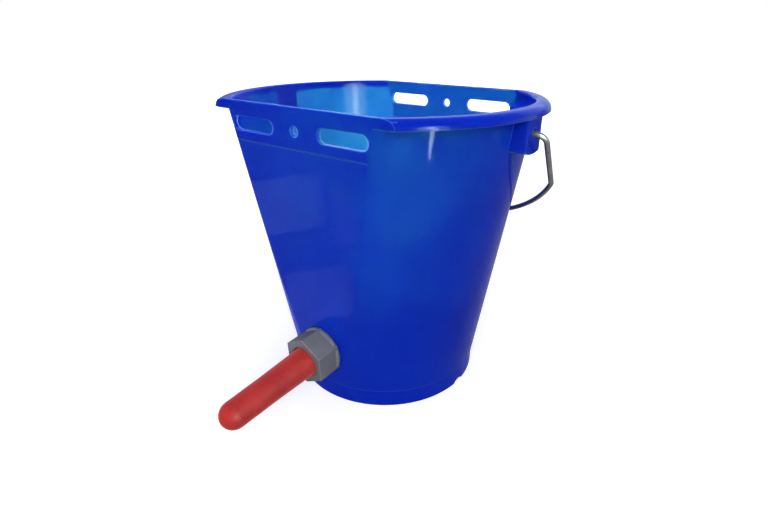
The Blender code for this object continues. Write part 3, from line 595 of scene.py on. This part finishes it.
def bail_path():
    """The wire's centre line from one hooked end over the bow to the other, as (x, drop) points.

    A leg leans inwards from under its ear until it meets the bow's circle, and the other half is mirrored.
    """
    plate_inside = EAR_FACE - EAR_WALL
    hook_x = plate_inside - PLAY - WIRE_RADIUS
    hook = arc((hook_x + HOOK_BEND, HOOK_BEND), HOOK_BEND, math.pi, 1.5 * math.pi, HOOK_STEPS)
    lean_x, lean_drop = -math.sin(LEG_TAPER), math.cos(LEG_TAPER)
    middle = LEG_X * lean_x + BOW_RISE * lean_drop
    along = math.sqrt(BOW_RADIUS**2 - LEG_X**2 - BOW_RISE**2 + middle**2) - middle
    corner = (LEG_X + along * lean_x, along * lean_drop)
    turn = math.atan2(corner[1] + BOW_RISE, corner[0]) + BOW_BEND / 2 / BOW_RADIUS
    bow = arc((0.0, -BOW_RISE), BOW_RADIUS, turn, math.pi / 2, BOW_STEPS)
    half = np.concatenate([
        [(hook_x, HOOK_REACH)],
        hook,
        rounded_corner((plate_inside, 0.0), (LEG_X, 0.0), corner, LEG_BEND, LEG_STEPS),
        rounded_corner((LEG_X, 0.0), corner, bow[0], BOW_BEND, CORNER_STEPS),
        bow,
    ])
    return np.concatenate([half, half[-2::-1] * (-1.0, 1.0)])


def bent_wire(name, path):
    """Round wire: a circle carried along a flat path of (x, drop) points, square to it, with rounded ends.

    The attribute wire_run holds each point's run along the wire and its place across it.
    """
    ahead = np.gradient(path, axis=0)
    ahead /= np.linalg.norm(ahead, axis=1)[:, None]
    # Each end gets rings that shrink over its bulge and leave a small flat face in the middle.
    cap = np.linspace(0.0, math.pi / 2 - 0.15, CAP_RINGS)
    first = path[0] - ahead[0] * (CAP_BULGE * np.sin(cap))[::-1, None]
    last = path[-1] + ahead[-1] * (CAP_BULGE * np.sin(cap))[:, None]
    share = np.sqrt(np.cos(cap))
    centre = np.concatenate([first, path[1:-1], last])
    start_ahead, end_ahead = (np.repeat(end, CAP_RINGS, axis=0) for end in (ahead[:1], ahead[-1:]))
    ahead = np.concatenate([start_ahead, ahead[1:-1], end_ahead])
    size = WIRE_RADIUS * np.concatenate([share[::-1], np.ones(len(path) - 2), share])
    across = np.column_stack([ahead[:, 1], -ahead[:, 0]])
    turn = np.linspace(0.0, 2.0 * math.pi, WIRE_STEPS, endpoint=False)
    x = centre[:, :1] + size[:, None] * np.cos(turn) * across[:, :1]
    z = -(centre[:, 1:] + size[:, None] * np.cos(turn) * across[:, 1:])
    y = -size[:, None] * np.sin(turn)
    made = skin(name, np.stack([x, y, z], axis=-1), cap_rows=True)
    step = np.linalg.norm(np.diff(centre, axis=0), axis=1)
    run = np.concatenate([[0.0], np.cumsum(step)])[:, None] + 0.0 * turn
    around = np.stack([run, size[:, None] * np.cos(turn), size[:, None] * np.sin(turn)], axis=-1)
    wire_run = made.data.attributes.new("wire_run", "FLOAT_VECTOR", "POINT")
    wire_run.data.foreach_set("vector", around.ravel())
    return made


bail = bent_wire("bail", bail_path())
bail.data.transform(Matrix.Translation((0.0, 0.0, PIVOT_Z)) @ Matrix.Rotation(BAIL_REST, 4, "X"))
smooth(bail, 50.0)

zinc, tree, shader, place = finish_of("galvanised_wire")
tune(shader, Metallic=1.0)
run = add(tree, "Attribute", attribute_name="wire_run").outputs["Vector"]
spangle = add(tree, "TexVoronoi", {"Vector": place, "Scale": 520.0}).outputs["Color"]
grain = put(tree, surface_grain, Place=place, Cloud_Scale=90.0, Grain_Scale=2600.0)
# Drawing the wire left lines along it.
lengthwise = (0.03, 1.0, 1.0)
drawn = put(tree, rub_marks, Place=run, Stretch=lengthwise, Line_Scale=2600.0, Patch_Scale=60.0)["Marks"]
crystal = math_of(tree, "MULTIPLY", spangle, 0.5)
tone = math_of(tree, "ADD", crystal, math_of(tree, "MULTIPLY", grain["Cloud"], 0.5))
colour = blended(tree, tone, ZINC_DARK, ZINC_LIGHT)
tree.links.new(blended(tree, drawn, colour, ZINC_DRAWN), shader["Base Color"])
tree.links.new(between(tree, tone, 0.0, 1.0, *ZINC_ROUGHNESS), shader["Roughness"])
press(tree, shader, math_of(tree, "ADD", grain["Grain"], crystal), 0.03 * MM, Strength=0.5)
bail.data.materials.append(zinc)
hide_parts("bail_handle")
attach(bail, "bail")


# The valve body is a white nylon moulding pushed out through the wall from inside, so that its flange bears
# on the wall and its threaded tube takes the nut.

NYLON_DULL = (0.66, 0.66, 0.61, 1.0)
NYLON_WHITE = (0.76, 0.76, 0.73, 1.0)
NYLON_EDGE_HIGHLIGHT = (0.84, 0.84, 0.82, 1.0)
NYLON_ROUGHNESS = (0.34, 0.46)

white, tree, shader, place = finish_of("valve_white")
tune(shader, Specular_IOR_Level=0.35)
tune(shader, Subsurface_Weight=0.3, Subsurface_Radius=(1.0, 0.9, 0.7), Subsurface_Scale=0.002)
grain = put(tree, surface_grain, Place=place, Cloud_Scale=60.0, Grain_Scale=1500.0)
edge_light = put(tree, edge_highlight, Radius=0.4 * MM)
colour = blended(tree, grain["Cloud"], NYLON_DULL, NYLON_WHITE)
# The edges are painted lighter, a painted highlight where they catch the light.
tree.links.new(blended(tree, edge_light["Edge"], colour, NYLON_EDGE_HIGHLIGHT), shader["Base Color"])
tree.links.new(between(tree, grain["Cloud"], 0.0, 1.0, *NYLON_ROUGHNESS), shader["Roughness"])
press(tree, shader, grain["Grain"], 0.01 * MM, Normal=edge_light["Rounded"])
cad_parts["valve_body"].material_slots[0].material = white


# The wall gasket is a washer cut from black sheet rubber. The nut presses it between the valve's flange and
# the inside of the bucket's wall, where it keeps the milk in.

RUBBER_BLACK = (0.012, 0.012, 0.012, 1.0)
RUBBER_DUSTY = (0.035, 0.034, 0.033, 1.0)
RUBBER_ROUGHNESS = (0.6, 0.8)

black, tree, shader, place = finish_of("gasket_black")
tune(shader, Specular_IOR_Level=0.25)
grain = put(tree, surface_grain, Place=place, Cloud_Scale=120.0, Grain_Scale=3200.0)
tree.links.new(blended(tree, grain["Cloud"], RUBBER_BLACK, RUBBER_DUSTY), shader["Base Color"])
tree.links.new(between(tree, grain["Cloud"], 0.0, 1.0, *RUBBER_ROUGHNESS), shader["Roughness"])
press(tree, shader, grain["Grain"], 0.03 * MM)
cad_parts["wall_gasket"].material_slots[0].material = black


# The check ball is a smooth ivory plastic moulding that lies loose in the valve between four ribs. It lets
# milk out to the teat and closes the seat behind it, so that the teat stays full.

IVORY_WARM = (0.74, 0.70, 0.60, 1.0)
IVORY_LIGHT = (0.82, 0.79, 0.70, 1.0)
IVORY_ROUGHNESS = (0.16, 0.24)

ivory, tree, shader, place = finish_of("ball_ivory")
tune(shader, Subsurface_Weight=0.3, Subsurface_Radius=(1.0, 0.8, 0.6), Subsurface_Scale=0.002)
grain = put(tree, surface_grain, Place=place, Cloud_Scale=140.0, Grain_Scale=2400.0)
# The ribs rub it along its travel.
travel = (1.0, 0.2, 1.0)
rubbed = put(tree, rub_marks, Place=place, Stretch=travel, Line_Scale=1200.0, Patch_Scale=200.0)["Marks"]
tree.links.new(blended(tree, grain["Cloud"], IVORY_WARM, IVORY_LIGHT), shader["Base Color"])
gloss = between(tree, grain["Cloud"], 0.0, 1.0, *IVORY_ROUGHNESS)
tree.links.new(math_of(tree, "ADD", gloss, math_of(tree, "MULTIPLY", rubbed, 0.25)), shader["Roughness"])
press(tree, shader, grain["Grain"], 0.01 * MM, Strength=0.5)
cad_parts["check_ball"].material_slots[0].material = ivory


# The ball retainer is a ring with two crossed bars, moulded in natural plastic. It sits in the front end of
# the valve's tube, where it stops the ball and lets the milk past.

NATURAL_DULL = (0.62, 0.61, 0.56, 1.0)
NATURAL_LIGHT = (0.72, 0.71, 0.67, 1.0)
NATURAL_EDGE_HIGHLIGHT = (0.80, 0.80, 0.77, 1.0)
NATURAL_ROUGHNESS = (0.36, 0.50)

natural, tree, shader, place = finish_of("retainer_natural")
tune(shader, Specular_IOR_Level=0.35)
tune(shader, Subsurface_Weight=0.5, Subsurface_Radius=(1.0, 0.95, 0.85), Subsurface_Scale=0.002)
grain = put(tree, surface_grain, Place=place, Cloud_Scale=150.0, Grain_Scale=2000.0)
edge_light = put(tree, edge_highlight, Radius=0.3 * MM)
colour = blended(tree, grain["Cloud"], NATURAL_DULL, NATURAL_LIGHT)
# The edges are painted lighter, a painted highlight where they catch the light.
tree.links.new(blended(tree, edge_light["Edge"], colour, NATURAL_EDGE_HIGHLIGHT), shader["Base Color"])
tree.links.new(between(tree, grain["Cloud"], 0.0, 1.0, *NATURAL_ROUGHNESS), shader["Roughness"])
press(tree, shader, grain["Grain"], 0.01 * MM, Normal=edge_light["Rounded"])
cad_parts["ball_retainer"].material_slots[0].material = natural


# The union nut is a satin grey plastic moulding, a hexagon with a round collar at the wall and a lip. It is
# screwed on the valve body and clamps the bucket's wall with its collar and the teat's flange with its lip.

NUT_FLATS = 39.9 * MM
NUT_LENGTH = 23.1 * MM
NUT_LIP = 5.2 * MM
NUT_OPENING = 14.3 * MM
NUT_COLLAR_RADIUS = 22.0 * MM
NUT_COLLAR = 3.0 * MM
NUT_CHAMFER = 0.8 * MM
NUT_TURN = math.radians(-1.6)
NUT_END = PLAY + NUT_LENGTH
NUT_SOFT = 0.5 * MM
NUT_SHARPNESS = 90.0
NUT_STEPS = 360
EASE = 0.3
GREY_DARK = (0.125, 0.131, 0.147, 1.0)
GREY_LIGHT = (0.152, 0.158, 0.176, 1.0)
GREY_RUBBED = (0.26, 0.27, 0.28, 1.0)
GREY_EDGE_HIGHLIGHT = (0.42, 0.43, 0.42, 1.0)
GREY_ROUGHNESS = (0.40, 0.54)


def hexagon_radius(turn):
    """Distance from the centre to a hexagon whose corners are rounded, at each angle.

    The distance to a flat's line is half the width over the cosine of the angle from the flat's middle. The
    power mean of the distances to the nearest flat and to the one beside it rounds the corner between them.
    """
    sixth = math.pi / 3
    from_corner = np.abs(np.remainder(turn - 2 * sixth - NUT_TURN, sixth) - sixth / 2)
    from_middle = sixth / 2 - from_corner
    nearest = NUT_FLATS / 2 / np.cos(from_middle)
    beside = NUT_FLATS / 2 / np.cos(sixth - from_middle)
    return (nearest**-NUT_SHARPNESS + beside**-NUT_SHARPNESS) ** (-1.0 / NUT_SHARPNESS)


def union_nut():
    """The nut as one closed grid: a profile up the outside, over the lip and down the bore, at each angle.

    A rounded edge has one point between its ends, which lies EASE of the edge's size in from both faces.
    """
    turn = np.linspace(0.0, 2.0 * math.pi, NUT_STEPS, endpoint=False)
    hexagon = hexagon_radius(turn)
    collar = np.maximum(hexagon, NUT_COLLAR_RADIUS)
    collar_end = PLAY + NUT_COLLAR
    bore = BODY_RADIUS + PLAY
    rows = [
        (bore, PLAY),
        (collar - NUT_SOFT, PLAY),
        (collar - EASE * NUT_SOFT, PLAY + EASE * NUT_SOFT),
        (collar, PLAY + NUT_SOFT),
        (collar, collar_end - NUT_SOFT),
        (collar - EASE * (collar - hexagon), collar_end - EASE * NUT_SOFT),
        (hexagon, collar_end),
        (hexagon, collar_end + 0.4 * NUT_SOFT),
        (hexagon, NUT_END - NUT_CHAMFER),
        (hexagon - EASE * NUT_CHAMFER, NUT_END - EASE * NUT_CHAMFER),
        (hexagon - NUT_CHAMFER, NUT_END),
        (NUT_OPENING + NUT_SOFT, NUT_END),
        (NUT_OPENING + EASE * NUT_SOFT, NUT_END - EASE * NUT_SOFT),
        (NUT_OPENING, NUT_END - NUT_SOFT),
        (NUT_OPENING, NUT_END - NUT_LIP),
        (bore, NUT_END - NUT_LIP),
    ]
    radius, z = (np.array([np.broadcast_to(row[part], turn.shape) for row in rows]) for part in (0, 1))
    grid = np.stack([radius * np.cos(turn), radius * np.sin(turn), z], axis=-1)
    return skin("valve_nut", grid, close_rows=True)


nut = union_nut()
nut.data.transform(VALVE_PLACE)
smooth(nut, 35.0)

grey, tree, shader, place = finish_of("nut_grey")
tune(shader, Specular_IOR_Level=0.25)
grain = put(tree, surface_grain, Place=place, Cloud_Scale=70.0, Grain_Scale=1700.0)
edge_light = put(tree, edge_highlight, Radius=0.8 * MM)
# A spanner or a hand leaves fine marks round the flats.
sideways = (0.1, 1.0, 1.0)
rubbed = put(tree, rub_marks, Place=place, Stretch=sideways, Line_Scale=900.0, Patch_Scale=90.0)["Marks"]
colour = blended(tree, grain["Cloud"], GREY_DARK, GREY_LIGHT)
colour = blended(tree, math_of(tree, "MULTIPLY", rubbed, 0.25), colour, GREY_RUBBED)
# The edges are painted a lighter grey, a painted highlight where they catch the light.
highlight_share = math_of(tree, "MULTIPLY", edge_light["Edge"], 0.8)
tree.links.new(blended(tree, highlight_share, colour, GREY_EDGE_HIGHLIGHT), shader["Base Color"])
tree.links.new(between(tree, grain["Grain"], 0.3, 0.7, *GREY_ROUGHNESS), shader["Roughness"])
height = math_of(tree, "SUBTRACT", grain["Grain"], math_of(tree, "MULTIPLY", rubbed, 0.4))
press(tree, shader, height, 0.03 * MM, Normal=edge_light["Rounded"], Strength=0.6)
nut.data.materials.append(grey)
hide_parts("union_nut")
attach(nut, "bucket")


# The teat is soft red rubber, dip moulded: a flange that the nut clamps, a slightly waisted stem and a round
# tip with the feeding hole. It sits a little low in the nut and droops.

TEAT_FLANGE = 2.8 * MM
TEAT_ROOT_RADIUS = 13.1 * MM
TEAT_WAIST_RADIUS = 12.0 * MM
TEAT_TIP_RADIUS = 11.6 * MM
TEAT_REACH = 108.0 * MM
TEAT_DROP = 0.4 * MM
TEAT_SAG = math.radians(0.9)
TEAT_WALL = 3.2 * MM
TEAT_ORIFICE = 1.2 * MM
TEAT_FLANGE_RADIUS = BODY_RADIUS - TEAT_DROP
TEAT_FLANGE_END = NUT_END - NUT_LIP - PLAY - TEAT_FLANGE_RADIUS * math.sin(TEAT_SAG)
TEAT_START = TEAT_FLANGE_END - TEAT_FLANGE
TEAT_FLARE_END = NUT_END + 6.0 * MM
TEAT_STEPS = 96
DOME_STEPS = 30
STEM_RINGS = 40
EASING_RINGS = 9
RED_DEEP = (0.40, 0.012, 0.012, 1.0)
RED_LIGHT = (0.495, 0.021, 0.019, 1.0)
RED_BLOOM = (0.62, 0.20, 0.18, 1.0)
RED_ROUGHNESS = (0.46, 0.62)


def teat():
    """The hollow teat, turned: flange, root, stem and domed tip outside, then back down the bore.

    The stem's radius runs straight from root to flare to waist to tip, smoothed by a bell-shaped mean.
    """
    root = NUT_OPENING - PLAY - TEAT_DROP
    dome = TEAT_REACH - TEAT_TIP_RADIUS
    waist = (TEAT_FLARE_END + dome) / 2
    neck, neck_radius = NUT_END + 2.0 * MM, (root + TEAT_ROOT_RADIUS) / 2
    z = np.linspace(NUT_END + 1.0 * MM, dome, STEM_RINGS)
    stem = np.interp(
        z,
        [NUT_END, neck, TEAT_FLARE_END, waist, dome],
        [root, neck_radius, TEAT_ROOT_RADIUS, TEAT_WAIST_RADIUS, TEAT_TIP_RADIUS],
    )
    bell = np.hanning(EASING_RINGS) / np.hanning(EASING_RINGS).sum()
    stem = np.convolve(np.pad(stem, EASING_RINGS // 2, mode="edge"), bell, mode="valid")
    inner_tip = TEAT_TIP_RADIUS - TEAT_WALL
    # The first point of the dome would lie on the stem's last one.
    dome_start = 0.03
    outer_start = math.asin(TEAT_ORIFICE / TEAT_TIP_RADIUS)
    inner_start = math.asin(TEAT_ORIFICE / inner_tip)
    outside = np.concatenate([
        [(TEAT_FLANGE_RADIUS, TEAT_START), (TEAT_FLANGE_RADIUS, TEAT_FLANGE_END), (root, TEAT_FLANGE_END)],
        np.column_stack([stem, z]),
        arc((0.0, dome), TEAT_TIP_RADIUS, dome_start, math.pi / 2 - outer_start, DOME_STEPS),
    ])
    inside = np.concatenate([
        arc((0.0, dome), inner_tip, math.pi / 2 - inner_start, 0.0, 12),
        [(TEAT_WAIST_RADIUS - TEAT_WALL, waist), (TEAT_ROOT_RADIUS - TEAT_WALL, TEAT_FLARE_END)],
        [(TEAT_ROOT_RADIUS - TEAT_WALL, TEAT_START)],
    ])
    return turned("feeding_teat", np.concatenate([outside, inside]), TEAT_STEPS)


rubber_teat = teat()
hinge = Matrix.Translation((0.0, 0.0, TEAT_FLANGE_END))
droop = hinge @ Matrix.Rotation(TEAT_SAG, 4, "X") @ hinge.inverted()
rubber_teat.data.transform(VALVE_PLACE @ Matrix.Translation((0.0, -TEAT_DROP, 0.0)) @ droop)
smooth(rubber_teat, 50.0)

red, tree, shader, place = finish_of("teat_red")
tune(shader, Specular_IOR_Level=0.18)
tune(shader, Sheen_Weight=0.8, Sheen_Roughness=0.5, Sheen_Tint=(1.0, 0.22, 0.2, 1.0))
tune(shader, Subsurface_Weight=0.5, Subsurface_Radius=(1.0, 0.3, 0.25), Subsurface_Scale=0.004)
grain = put(tree, surface_grain, Place=place, Cloud_Scale=55.0, Grain_Scale=1400.0)
# The bloom is a thin pale film that rubber sweats out, thicker where it isn't handled.
film = put(tree, surface_grain, Place=place, Cloud_Scale=260.0, Grain_Scale=4200.0)
bloom = math_of(tree, "MULTIPLY", math_of(tree, "MULTIPLY", film["Cloud"], film["Grain"]), 0.16)
colour = blended(tree, grain["Cloud"], RED_DEEP, RED_LIGHT)
tree.links.new(blended(tree, bloom, colour, RED_BLOOM), shader["Base Color"])
tree.links.new(between(tree, grain["Cloud"], 0.0, 1.0, *RED_ROUGHNESS), shader["Roughness"])
height = math_of(tree, "ADD", grain["Grain"], math_of(tree, "MULTIPLY", film["Grain"], 0.5))
press(tree, shader, height, 0.05 * MM, Strength=0.6)
rubber_teat.data.materials.append(red)
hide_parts("teat")
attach(rubber_teat, "bucket")


# The camera stands where the photograph was taken from: close to the bucket, above its rim and to the right
# of the valve, tilted down and turned towards the bucket's axis.

CAMERA_PLACE = (0.276768, -0.343894, 0.313023)
CAMERA_TILT = math.radians(65.3663)
CAMERA_ROLL = math.radians(-0.2561)
CAMERA_TURN = math.radians(36.9148)

camera = bpy.data.objects.new("camera", bpy.data.cameras.new("camera"))
bpy.context.scene.collection.objects.link(camera)
bpy.context.scene.camera = camera
camera.data.lens = 22.820
camera.data.sensor_width = 36.0
camera.data.shift_x = -0.02313
camera.data.clip_start = 0.01
aimed = Euler((CAMERA_TILT, CAMERA_ROLL, CAMERA_TURN)).to_matrix().to_4x4()
camera.matrix_world = Matrix.Translation(CAMERA_PLACE) @ aimed


# The studio is a white room with a pale paper floor, which keeps the soft shadow, and soft lamps. The floor
# throws little light back on the bucket and is grey in its gloss.

ROOM_LIT = 0.4
ROOM_MIRRORED = 0.3
ROOM_SEEN = 1.0
FLOOR_HALF = 8.0
FLOOR_LIT = (0.15, 0.15, 0.15, 1.0)
FLOOR_MIRRORED = (0.5, 0.5, 0.5, 1.0)
FLOOR_SEEN = (0.82, 0.82, 0.82, 1.0)
FLOOR_GLOW_REACH = (0.25, 1.4)
FLOOR_GLOW = (0.5, 1.0)
CARD_TINT = (0.74, 1.0, 0.94)

scene = bpy.context.scene
scene.view_settings.view_transform = "Standard"
world = bpy.data.worlds.new("studio")
scene.world = world
world.use_nodes = True
tree = world.node_tree
path = add(tree, "LightPath").outputs
seen = math_of(tree, "MAXIMUM", path["Is Camera Ray"], path["Is Transmission Ray"])
unseen = between(tree, path["Is Glossy Ray"], 0.0, 1.0, ROOM_LIT, ROOM_MIRRORED)
room = tree.nodes["Background"].inputs
tree.links.new(between(tree, seen, 0.0, 1.0, unseen, ROOM_SEEN), room["Strength"])
room["Color"].default_value = (1.0, 1.0, 1.0, 1.0)

floor_mesh = bpy.data.meshes.new("floor")
corners = [(side * FLOOR_HALF, end * FLOOR_HALF, 0.0) for side, end in ((-1, -1), (1, -1), (1, 1), (-1, 1))]
floor_mesh.from_pydata(corners, [], [(0, 1, 2, 3)])
floor = bpy.data.objects.new("floor", floor_mesh)
scene.collection.objects.link(floor)
paper, tree, shader, place = finish_of("floor_paper")
path = add(tree, "LightPath").outputs
tune(shader, Roughness=0.9, Specular_IOR_Level=0.0, Emission_Color=(1.0, 1.0, 1.0, 1.0))
shade = blended(tree, path["Is Glossy Ray"], FLOOR_LIT, FLOOR_MIRRORED)
tree.links.new(blended(tree, path["Is Camera Ray"], shade, FLOOR_SEEN), shader["Base Color"])
# The paper glows for the camera, more so away from the bucket, where it runs out into plain white.
away = add(tree, "VectorMath", {0: place}, operation="LENGTH").outputs["Value"]
glow = between(tree, away, *FLOOR_GLOW_REACH, *FLOOR_GLOW)
tree.links.new(math_of(tree, "MULTIPLY", path["Is Camera Ray"], glow), shader["Emission Strength"])
floor.data.materials.append(paper)


def lamp(name, place, aim, width, height, power):
    """A soft rectangular lamp of some watts at a place, turned to face a point, with its width level."""
    light = bpy.data.lights.new(name, "AREA")
    light.shape = "RECTANGLE"
    light.size = width
    light.size_y = height
    light.energy = power
    made = bpy.data.objects.new(name, light)
    scene.collection.objects.link(made)
    facing = (Vector(place) - Vector(aim)).to_track_quat("Z", "Y").to_matrix().to_4x4()
    made.matrix_world = Matrix.Translation(place) @ facing
    made.visible_camera = False
    return made


# Plain light from above and from the front right. Neither shows in the gloss.
for name, place, aim, width, height, power in (
    ("overhead", (0.0, 0.2, 1.7), (0.0, 0.0, 0.1), 1.6, 1.6, 2.8),
    ("front", (1.05, -1.45, 0.9), (0.0, 0.0, 0.15), 1.2, 0.9, 31.5),
):
    lamp(name, place, aim, width, height, power).visible_glossy = False

# These lamps light only the bucket, whose wall glows where they shine through it. The last one looks over
# the back rim on the inside of the front wall, which glows near the top.
walls = bpy.data.collections.new("walls")
walls.objects.link(bucket)
for name, place, aim, width, height, power in (
    ("back_left", (-1.65, 0.55, 0.14), (0.0, 0.0, 0.14), 1.2, 0.26, 110.0),
    ("left", (-1.7, -0.3, 0.14), (0.0, 0.0, 0.14), 1.0, 0.26, 16.0),
    ("back", (0.1, 1.7, 0.14), (0.0, 0.0, 0.14), 0.8, 0.26, 26.0),
    ("inside", (-0.5, 0.9, 0.95), (0.05, -0.08, 0.2), 0.6, 0.4, 20.0),
):
    behind = lamp(name, place, aim, width, height, power)
    behind.visible_glossy = False
    behind.light_linking.receiver_collection = walls

# Cards show only in the gloss: the window's strips, the bright edges, the rim's sheen and the panes in the
# flat side.
for name, place, aim, width, height, power in (
    ("strip", (1.10, -0.46, 0.45), (0.1, -0.05, 0.26), 0.40, 0.9, 22.0),
    ("strip_core", (1.09, -0.46, 0.45), (0.1, -0.05, 0.26), 0.10, 0.9, 11.0),
    ("wall_strip", (0.2031, -0.109, 0.189), (0.101, -0.079, 0.247), 0.007, 0.027, 0.026),
    ("edge_card", (1.3, 1.2, 0.4), (0.1, 0.0, 0.2), 1.2, 1.0, 5.2),
    ("rim_card", (-0.4, 2.0, 1.25), (0.0, 0.0, 0.265), 3.2, 1.0, 8.0),
    ("low_card", (-0.75, 2.1, 0.45), (0.0, 0.0, 0.265), 2.4, 0.9, 2.5),
    ("upper_pane", (-0.1048, -0.169, 0.1422), (-0.0173, -0.1011, 0.1883), 0.070, 0.056, 0.010),
    ("side_pane", (-0.0378, -0.1766, 0.1403), (0.0409, -0.1012, 0.1906), 0.017, 0.062, 0.002),
    ("lower_pane", (-0.0325, -0.1278, 0.0741), (0.006, -0.0961, 0.1074), 0.060, 0.058, 0.008),
):
    card = lamp(name, place, aim, width, height, power)
    card.visible_diffuse = False
    card.data.color = CARD_TINT
